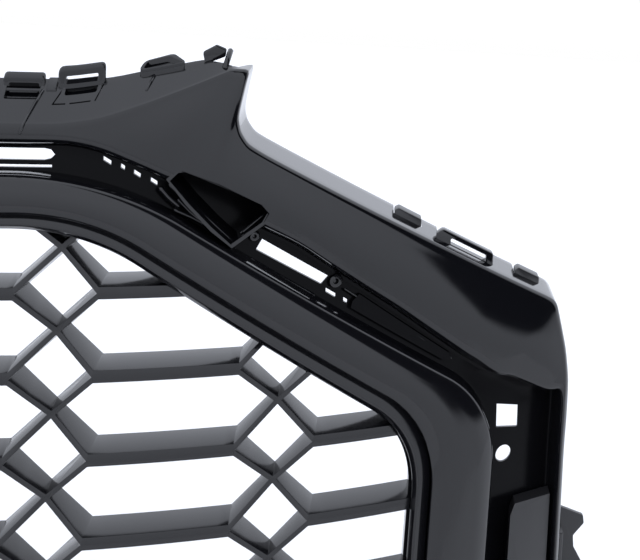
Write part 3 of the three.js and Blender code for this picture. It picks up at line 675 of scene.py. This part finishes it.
# %% [markdown]
# The insert is one moulding too: a net of bars between diamond and hexagon cells. Every cell is the
# same, so one cell's corners are worked out once and copied by adding each cell's place. The front
# of the net falls back to the crossings, and each bar is wider at the back, because a moulding must
# slide out of its tool.

# %% Cells of the insert
PITCH_X, PITCH_Z, DIAMOND_HALF = 147.0, 53.5, 28.5
CROSSING_DEPTH, INSERT_DEPTH, DRAFT = 12.5, 29.0, 2.5
DIAGONAL_BAR, LEVEL_BAR = 3.5, 8.0
INSERT_COLUMNS = np.arange(-5, 5)
INSERT_ROWS = np.arange(-8, 4)
DIAMOND = np.array([(0, 0), (DIAMOND_HALF, PITCH_Z / 2), (0, PITCH_Z), (-DIAMOND_HALF, PITCH_Z / 2)])
HEXAGON = np.array([(0, 0), (DIAMOND_HALF, -PITCH_Z / 2), (PITCH_X - DIAMOND_HALF, -PITCH_Z / 2),
                    (PITCH_X, 0), (PITCH_X - DIAMOND_HALF, PITCH_Z / 2), (DIAMOND_HALF, PITCH_Z / 2)])


def inset(corners, level_sides, widen):
    """Corners after each side has moved in by half its bar: two moved sides meet in the new corner."""
    after = np.roll(corners, -1, axis=0) - corners
    after /= np.linalg.norm(after, axis=1, keepdims=True)
    before = np.roll(after, 1, axis=0)
    move = np.where(level_sides, LEVEL_BAR, DIAGONAL_BAR)[:, None] / 2 + widen
    left = lambda way: np.stack([-way[:, 1], way[:, 0]], 1)
    start = corners + left(before) * np.roll(move, 1, axis=0)
    gap = corners + left(after) * move - start
    cross = lambda a, b: a[:, 0] * b[:, 1] - a[:, 1] * b[:, 0]
    return start + before * (cross(gap, after) / cross(before, after))[:, None]


def cell_corners(widen):
    """The four corners of a diamond and the six of a hexagon that start at one crossing."""
    return np.concatenate([inset(DIAMOND, np.zeros(4, bool), widen),
                           inset(HEXAGON, np.array([0, 1, 0, 0, 1, 0], bool), widen)])


def insert_front(places):
    """Forward level: 0 along the level bars, falling in straight slopes to the crossings."""
    column = np.round(places[..., 0] / PITCH_X - 0.5) + 0.5
    row = np.round(places[..., 1] / PITCH_Z)
    sideways = np.abs(places[..., 0] - column * PITCH_X) / DIAMOND_HALF
    upwards = np.abs(places[..., 1] - row * PITCH_Z) / (PITCH_Z / 2)
    return -CROSSING_DEPTH * (1 - np.minimum(1, np.maximum(sideways, upwards)))


# a corner is (kind, index, columns over, rows up); kind 0 is a diamond and kind 4 a hexagon
NET_PATCHES = [
    [(4, 0, 0, 0), (0, 0, 0, 0), (4, 3, -1, 0), (0, 2, 0, -1)],
    [(0, 1, 0, 0), (4, 5, 0, 0), (4, 1, 0, 1)],
    [(0, 3, 0, 0), (4, 2, -1, 1), (4, 4, -1, 0)],
    [(4, 0, 0, 0), (4, 5, 0, 0), (0, 1, 0, 0), (0, 0, 0, 0)],
    [(4, 1, 0, 1), (4, 0, 0, 1), (0, 2, 0, 0), (0, 1, 0, 0)],
    [(0, 0, 0, 0), (0, 3, 0, 0), (4, 4, -1, 0), (4, 3, -1, 0)],
    [(0, 3, 0, 0), (0, 2, 0, 0), (4, 3, -1, 1), (4, 2, -1, 1)],
    [(4, 5, 0, 0), (4, 4, 0, 0), (4, 2, 0, 1), (4, 1, 0, 1)]]


def net():
    """Drawn points and faces of the whole net: fronts, backs, and a side wall on every free edge."""
    columns, rows = len(INSERT_COLUMNS), len(INSERT_ROWS)
    base = np.stack(np.meshgrid((INSERT_COLUMNS + 0.5) * PITCH_X, INSERT_ROWS * PITCH_Z, indexing="ij"), -1)
    near = (base[:, :, None] + cell_corners(0.0)).reshape(-1, 2)
    far = (base[:, :, None] + cell_corners(DRAFT)).reshape(-1, 2)
    points = np.concatenate([np.column_stack([near, insert_front(near)]),
                             np.column_stack([far, np.full(len(far), -INSERT_DEPTH)])])
    patches = []
    for k, patch in enumerate(NET_PATCHES):
        top = rows if k == 0 else rows - 1              # a last row of crossings closes the top
        c, r = (grid.reshape(-1) for grid in np.meshgrid(np.arange(1, columns - 1), np.arange(1, top),
                                                        indexing="ij"))
        patches.append(np.stack([((c + over) * rows + r + up) * 10 + kind + index
                                 for kind, index, over, up in patch], 1))
    edges = np.concatenate([np.stack([patch, np.roll(patch, -1, axis=1)], -1).reshape(-1, 2)
                            for patch in patches])
    count = len(near)
    free = edges[~np.isin(edges[:, 1] * count + edges[:, 0], edges[:, 0] * count + edges[:, 1])]
    walls = np.stack([free[:, 0], free[:, 0] + count, free[:, 1] + count, free[:, 1]], 1)
    faces = [face for patch in patches for face in patch.tolist()]
    faces += [[v + count for v in face[::-1]] for face in faces]
    return points, faces + walls.tolist()


# %% [markdown]
# The flat net is cut across by a row of planes before it is bent, so that its long level bars follow
# the bend. Narrow bevels then round the edges, the net is trimmed to the opening, and the rim that
# carries it behind the bezel is joined on.

# %% Insert
def bent_net(name):
    """The net cut across every 18 mm, then bent on the surface."""
    points, faces = net()
    used = sorted({v for face in faces for v in face})
    renumber = {v: k for k, v in enumerate(used)}
    mesh = bpy.data.meshes.new(name)
    mesh.from_pydata(points[used].tolist(), [], [[renumber[v] for v in face] for face in faces])
    work = bmesh.new()
    work.from_mesh(mesh)
    for x in np.arange(-495, 496, 18.0):
        everything = work.verts[:] + work.edges[:] + work.faces[:]
        bmesh.ops.bisect_plane(work, geom=everything, plane_co=(x, 0, 0), plane_no=(1, 0, 0), dist=1e-3)
    bmesh.ops.recalc_face_normals(work, faces=work.faces)
    work.to_mesh(mesh)
    work.free()
    drawn = np.empty(len(mesh.vertices) * 3)
    mesh.vertices.foreach_get("co", drawn)
    mesh.vertices.foreach_set("co", in_frame(drawn.reshape(-1, 3)).reshape(-1))
    mesh.update()
    piece = bpy.data.objects.new(name, mesh)
    bpy.context.scene.collection.objects.link(piece)
    return piece


RIM_FRONT = -6.2
SCREW_ACROSS = 0.68
SCREW_STEPS = (3, 14, 27, 36, 45)
insert = bent_net("insert_net")
soften_edges(insert, 0.9, 3)
opening = across_at(OPENING, -GAP)
joined(insert, [plate_piece("within", opening, 4 * FAR, -4 * FAR)], "INTERSECT")
rim = ring_piece("rim", even_section([
    (OPENING, -DRAFT, RIM_FRONT), (OPENING, -DRAFT, -INSERT_DEPTH - 2), (OPENING, 0.5, -INSERT_DEPTH - 2),
    (OPENING, 0.5, RIM_FRONT - WALL), (FRAME_IN - 0.02, 0, RIM_FRONT - WALL),
    (FRAME_IN - 0.02, 0, RIM_FRONT)]),
    [0.4] * 6, [4, 1, 4, 3, 1, 3])
joined(insert, [rim], "UNION")
screw_places = across_at(SCREW_ACROSS)[[step * FINE for step in SCREW_STEPS]]
for side_name, side in SIDES:
    joined(insert, [plate_piece("drill", mirrored(circle(x, z, 2.5, 16), side), 0, -INSERT_DEPTH)
                    for x, z in screw_places], "DIFFERENCE")
finish_piece(insert, "insert_satin", "honeycomb_insert")

# %% [markdown]
# Along the bonnet the flange carries the parts that clip the grille to the car. On the real part
# they are moulded on, with thick rounded rims, because they are pulled hard during fitting. Each is
# drawn on the flange itself: x across, the distance up its slope, and the height above it.

# %% Tools for the clips
BONNET_EDGE = RAILS[OUTER][:TIP_STATION * FINE + 1]
FLANGE_LENGTH = math.hypot(1, FLANGE_RISE)


def on_bonnet(x, rise, up):
    """Metres: from the crease at x, rise mm along a slope of 0.8, then straight up."""
    x, rise, up = np.broadcast_arrays(*(np.asarray(value, float) for value in (x, rise, up)))
    z = np.interp(x, *BONNET_EDGE.T)
    y = surface(x, z) - (FACE - 3) + rise / FLANGE_LENGTH
    return (np.stack([x, y, z + rise * FLANGE_RISE / FLANGE_LENGTH + up], -1) - ORIGIN) * MM


def lying(side):
    """Outlines drawn as (x, rise), pushed up."""
    return lambda x, rise, up: on_bonnet(x, rise, up) * [side, 1, 1]


def upright(side):
    """Outlines drawn as (x, up), pushed along the rise."""
    return lambda x, up, rise: on_bonnet(x, rise, up) * [side, 1, 1]


def bent_place(side):
    """Outlines drawn as (x, z), pushed forward."""
    return lambda x, z, forward: in_frame(np.stack([x, z, forward], -1)) * [side, 1, 1]


def box(x0, y0, x1, y1):
    """Corners of a rectangle."""
    return np.array([(x0, y0), (x1, y0), (x1, y1), (x0, y1)], float)


def rounded(outline, radius, arc=6):
    """The outline with a short curve at each corner."""
    outline = np.asarray(outline, float)
    count = len(outline)
    return rounded_sections(outline[None], [radius] * count, [1] * count, arc)[0]


def prism(name, outline, low, high, place, width=0.5):
    """A solid with rounded edges: an outline pushed from low to high and put in place."""
    outline = divided(np.asarray(outline, float), 8.0)
    count = len(outline)
    points = np.concatenate([place(*outline.T, np.full(count, float(level))) for level in (low, high)])
    ids = np.arange(count)
    sides = np.stack([ids, (ids + 1) % count, (ids + 1) % count + count, ids + count], 1)
    piece = new_piece(name, points, [list(ids), list(ids[::-1] + count)] + sides.tolist())
    if width:
        soften_edges(piece, width)
    return piece


def rod(name, path, radius, sides=12):
    """A round bar along points in metres; its ends shrink to half the radius and are closed."""
    path = np.asarray(path, float)
    way = np.gradient(path, axis=0)
    way /= np.linalg.norm(way, axis=1, keepdims=True)
    reach = way * radius * MM * 0.6
    path = np.concatenate([path[:1] - reach[:1], path, path[-1:] + reach[-1:]])
    way = np.concatenate([way[:1], way, way[-1:]])
    across = np.cross(way, (0.13, 0.21, 0.97))
    across /= np.linalg.norm(across, axis=1, keepdims=True)
    over = np.cross(across, way)
    size = np.full(len(path), radius * MM)
    size[[0, -1]] *= 0.5
    angle = 2 * math.pi * np.arange(sides)[:, None] / sides
    spokes = np.cos(angle) * across[:, None] + np.sin(angle) * over[:, None]
    rings = path[:, None] + size[:, None, None] * spokes
    steps = np.meshgrid(np.arange(len(path) - 1), np.arange(sides), indexing="ij")
    i, j = (grid.reshape(-1) for grid in steps)
    k = (j + 1) % sides
    walls = np.stack([i * sides + j, i * sides + k, (i + 1) * sides + k, (i + 1) * sides + j], 1)
    last = (len(path) - 1) * sides
    caps = [list(range(sides))[::-1], list(range(last, last + sides))]
    return new_piece(name, rings.reshape(-1, 3), caps + walls.tolist(), 50)


# %% [markdown]
# The socket takes a pin of the bonnet seal, the loop hooks over a sprung latch on a tongue that is
# cut free at three sides, and the box guides the bonnet's edge. Ribs tie them to the face.

# %% Clips on the bonnet flange
SOCKET_X, LOOP_X = (178, 204), (212.5, 242)
GUIDE = np.array([(263, 25), (294, 16.5), (284.5, 30), (266, 32.5)])
SLITS = [box(212, 14, 219.5, 15.3), box(222, 14, 235, 15.3),
         [(211, 14), (211.9, 14), (216.4, 29), (215.5, 29)],
         [(237.3, 14), (238.2, 14), (241.5, 29), (240.6, 29)]]


def hollow_box(name, outline, wall, low, high, floor, place):
    """A box with rounded walls that is open at the top: the outline less a smaller one."""
    inner = prism("cutter", rounded(grown(outline, -1.4 * wall), 2), floor, high + 9, place, 0)
    return joined(prism(name, rounded(outline, 3.5), low, high, place), [inner], "DIFFERENCE")


for side_name, side in SIDES:
    flat, stand = lying(side), upright(side)
    cuts = [prism("cutter", rounded(box(180, 19, 202, 35), 2), -12, 12, flat, 0),
            prism("cutter", rounded(box(217.5, 22.5, 237.5, 31), 2), -12, 12, flat, 0),
            prism("cutter", box(213, 33, 241.5, 60), -12, 12, flat, 0)]
    cuts += [prism("cutter", slit, -9, 9, flat, 0) for slit in SLITS]
    joined(panel, cuts, "DIFFERENCE")
    outline = box(SOCKET_X[0], 17, SOCKET_X[1], 37)
    clip_socket = hollow_box("socket_" + side_name, outline, 2.2, -9, 0.4, -7, flat)
    arch = prism("arch", rounded(box(SOCKET_X[0], -1, SOCKET_X[1], 5.6), 2.6), 31.5, 37, stand, 0.8)
    joined(arch, [prism("cutter", rounded(box(181.5, -6, 200.5, 2), 1.5), 20, 35, stand, 0)], "DIFFERENCE")
    ledge = prism("ledge", box(179, -1.4, 203, -0.4), 28.5, 30.5, stand, 0.3)
    joined(clip_socket, [arch, ledge], "UNION")
    finish_piece(clip_socket, "panel_gloss", "clip_socket_" + side_name)
    rib = np.array([(203.5, 27), (201, 16), (198.4, 4)])
    path = np.concatenate([on_bonnet(*rib.T, 0.6), in_frame([(196.6, 188.4, 13.8), (195.2, 184, 14.8)])])
    finish_piece(rod("socket_rib_" + side_name, path * [side, 1, 1], 1.1), "panel_gloss")
    ramp_block = prism("ramp_" + side_name, rounded(box(205.8, 26, 212, 37.5), 1), -0.5, 1.8, flat)
    finish_piece(ramp_block, "panel_gloss")

    loop = prism("loop_" + side_name, rounded(box(LOOP_X[0], -1.5, LOOP_X[1], 12.4), 4), 29.5, 34, stand, 1.2)
    joined(loop, [prism("cutter", rounded(box(217.5, 2.6, 237.5, 7.8), 1), 20, 50, stand, 0)], "DIFFERENCE")
    recess = hollow_box("recess", box(215, 20.5, 240, 33), 1.8, -7, 0.3, -5.5, flat)
    joined(loop, [recess], "UNION")
    finish_piece(loop, "panel_gloss", "latch_loop_" + side_name)

    guide = hollow_box("guide_" + side_name, GUIDE, 2.0, -0.5, 5.4, 0.8, flat)
    finish_piece(guide, "panel_gloss", "guide_box_" + side_name)
    tie = on_bonnet(np.array([273.5, 270]), np.array([21.5, 10]), 0.5) * [side, 1, 1]
    finish_piece(rod("guide_rib_" + side_name, tie, 1.0), "panel_gloss")

    tab_outline = rounded([(305.5, -1.5), (304, 6.5), (312.5, 7.6), (319, 2), (318.5, -2)], 1)
    tab = prism("tab_" + side_name, tab_outline, 17, 19.4, stand, 0.5)
    finish_piece(tab, "panel_gloss", "edge_tab_" + side_name)
    end = on_bonnet(np.array([319.5, 320.5, 321.5]), np.array([3, 10, 18]), 0.6) * [side, 1, 1]
    finish_piece(rod("end_rib_" + side_name, end, 2.0), "panel_gloss")

# %% [markdown]
# The turned-back edge beside the headlight carries two lugs and a locating loop. The edge is cut
# away where they stand, and they close the gaps with thicker, darker rims.

# %% Headlight edge
LUG_STARTS = {"upper": 441, "lower": 537.5}
LUG_LENGTH = 20.5
LUG_REACH = (-1.5, 5)          # from inside the edge to outside it
LUG_DEPTH = (-30, -16.5)
LOOP_START, LOOP_END = 473, 518
LOOP_REACH = (-5, 8.5)
LOOP_DEPTH = (-14, -4.5)
WINDOW_START, WINDOW_END = 484, 512
WINDOW_REACH = (0.5, 5)
CLEARANCE = 0.5


def headlight_z(x):
    """Height of the straight edge beside the headlight."""
    return 175 - 0.531 * (x - 340)


def edge_bar(start, end, reach, cut):
    """A bar along the edge, between two distances off it, with its upper inner corner cut off."""
    low, high = reach
    corners = [(start, low), (end, low), (end, high), (start + cut, high), (start, high - cut)]
    return [(x, headlight_z(x) + off) for x, off in corners]


def notch(start, end, front, place):
    """A cutter behind a forward level, wide enough to take all of the turned-back edge."""
    return prism("notch", edge_bar(start, end, (-9, 12), 1), -FAR, front, place, 0)


for side_name, side in SIDES:
    place = bent_place(side)
    notches = [notch(start - CLEARANCE, start + LUG_LENGTH + CLEARANCE, LUG_DEPTH[1] + CLEARANCE, place)
               for start in LUG_STARTS.values()]
    notches.append(notch(LOOP_START + 1.5, LOOP_END - 1, LOOP_DEPTH[1] + CLEARANCE, place))
    joined(panel, notches, "DIFFERENCE")
    for level, start in LUG_STARTS.items():
        outline = rounded(edge_bar(start, start + LUG_LENGTH, LUG_REACH, 3), 1.2)
        lug = prism("lug_%s_%s" % (level, side_name), outline, *LUG_DEPTH, place, 0.9)
        finish_piece(lug, "clip_satin", "headlight_lug_%s_%s" % (level, side_name))
    rim = prism("headlight_rim_" + side_name, rounded(edge_bar(LOOP_START, LOOP_END, LOOP_REACH, 5), 2),
                *LOOP_DEPTH, place, 1.2)
    window = rounded(edge_bar(WINDOW_START, WINDOW_END, WINDOW_REACH, 1), 0.8)
    joined(rim, [prism("window", window, -20, 4, place, 0)], "DIFFERENCE")
    finish_piece(rim, "panel_gloss", "headlight_loop_" + side_name)

# %% [markdown]
# Ribs stiffen the thin walls. Two cross the pocket as a long and a short triangle, two follow the
# slots of the channel, and round bosses at the slot's ends take the pins of the frame behind.

# %% Ribs and bosses of the panel
RIBS = {
    "pocket_long": ([(288.5, 149.5), (310, 130), (331, 111)], 1.0, 2.0),
    "pocket_short": ([(292.5, 133), (303, 128.5), (312.5, 123.5)], 0.6, 1.5),
    "pocket_web": ([(294.5, 139.5), (302, 132), (311, 124.5)], 0.6, 1.5),
    "pocket_left": ([(282.5, 147), (288, 141), (294, 136)], 0.0, 2.2),
    "pocket_right_a": ([(338, 118.5), (344.5, 124), (351, 129.5)], 4.0, 0.8),
    "pocket_right_b": ([(336, 117), (342.5, 122.5), (349, 128)], 1.0, 0.8),
    "slot_lower": ([(343, 98.2), (365, 84.8), (387.5, 71.4)], -4.2, 1.7),
    "blank_upper": ([(409, 74.5), (450, 46.5), (490, 18)], -3.2, 0.9),
}
BOSSES = [(402.5, 80.4, 4.4), (345.2, 113.6, 3.2)]


def ring_boss(name, x, z, radius, place):
    """A short tube on the channel floor: a disc less a smaller disc."""
    tube = prism(name, circle(x, z, radius, 28), FLOOR - 0.4, FLOOR + 3.5, place, 0.6)
    bore = prism("bore", circle(x, z, radius * 0.45, 20), FLOOR + 0.6, 9, place, 0)
    return joined(tube, [bore], "DIFFERENCE")


for side_name, side in SIDES:
    place = bent_place(side)
    for rib_name, (course, forward, radius) in RIBS.items():
        course = np.asarray(course, float)
        t = np.linspace(0, len(course) - 1, 13)
        fine = np.stack([np.interp(t, np.arange(len(course)), axis) for axis in course.T], 1)
        bar = rod(rib_name + "_" + side_name, place(*fine.T, np.full(len(fine), forward)), radius)
        finish_piece(bar, "panel_gloss")
    for k, (x, z, radius) in enumerate(BOSSES):
        finish_piece(ring_boss("boss_%d_%s" % (k + 1, side_name), x, z, radius, place), "panel_gloss")

# %% [markdown]
# The tool was polished for the face, but not for the channel and the recesses, so their floors are rougher.
# Little light falls into them, and that shade is also painted: the floors get a darker colour and a
# low IOR. A floor is a face well behind the panel's own face whose normal points forward.

# %% Painted shade on the floors of the panel
def paint_floor_shade(piece, behind, facing):
    """Second material, darker as painted shade, on faces behind a forward level whose normal's Y is below
    minus facing.
    """
    mesh = piece.data
    centre, normal = np.empty(len(mesh.polygons) * 3), np.empty(len(mesh.polygons) * 3)
    mesh.polygons.foreach_get("center", centre)
    mesh.polygons.foreach_get("normal", normal)
    x, y, z = (centre.reshape(-1, 3) / MM + ORIGIN).T
    shade_painted_floors = (surface(x, z) - y < behind) & (normal.reshape(-1, 3)[:, 1] < -facing)
    mesh.materials.clear()
    mesh.materials.append(FINISHES["panel_gloss"])
    mesh.materials.append(CHANNEL_PAINTED_SHADE)
    mesh.polygons.foreach_set("material_index", shade_painted_floors.astype(np.int32))
    mesh.update()
    print("dark floor faces:", int(shade_painted_floors.sum()))


paint_floor_shade(panel, 6.0, 0.66)

# %% [markdown]
# The remaining pieces keep their plain shapes, but no moulding and no pressed part has a knife
# edge: a weld and a narrow bevel round their corners, so that each edge catches a line of light.

# %% Softened edges of the plain pieces
for node_name, node in frame["nodes"].items():
    if node.hide_render:
        continue
    weld = node.modifiers.new("weld", "WELD")
    weld.merge_threshold = 0.00001
    bevel = node.modifiers.new("edge", "BEVEL")
    bevel.width = 0.0007 if node_name.startswith(("side_cover", "side_bracket", "slot_blank")) else 0.0003
    bevel.segments = 2
    bevel.limit_method = "ANGLE"
    bevel.angle_limit = math.radians(35)
    # The slot blanks take the channel's darker material: painted shade.
    if node_name.startswith("slot_blank"):
        node.data.materials[0] = CHANNEL_PAINTED_SHADE
print("softened the edges of the plain pieces")

# %% [markdown]
# The grille stands on a plain pale floor at its lowest point, like a part laid on a table.

# %% Floor
low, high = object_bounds()
floor_mesh = bpy.data.meshes.new("floor")
corners = [(x, y, low[2]) for x, y in ((-6, -6), (6, -6), (6, 6), (-6, 6))]
floor_mesh.from_pydata(corners, [], [(0, 1, 2, 3)])
floor = bpy.data.objects.new("floor", floor_mesh)
bpy.context.scene.collection.objects.link(floor)
pale = bpy.data.materials.new("floor_pale")
pale.use_nodes = True
pale.node_tree.nodes["Principled BSDF"].inputs["Base Color"].default_value = (0.95, 0.95, 0.95, 1)
pale.node_tree.nodes["Principled BSDF"].inputs["Roughness"].default_value = 0.9
floor_mesh.materials.append(pale)
floor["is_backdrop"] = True

# %% [markdown]
# Last, the box of the finished pieces is printed. Fine surfaces must stay in the place of the solids
# that they stand for.

low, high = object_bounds()
print("visual box", list(low), list(high))
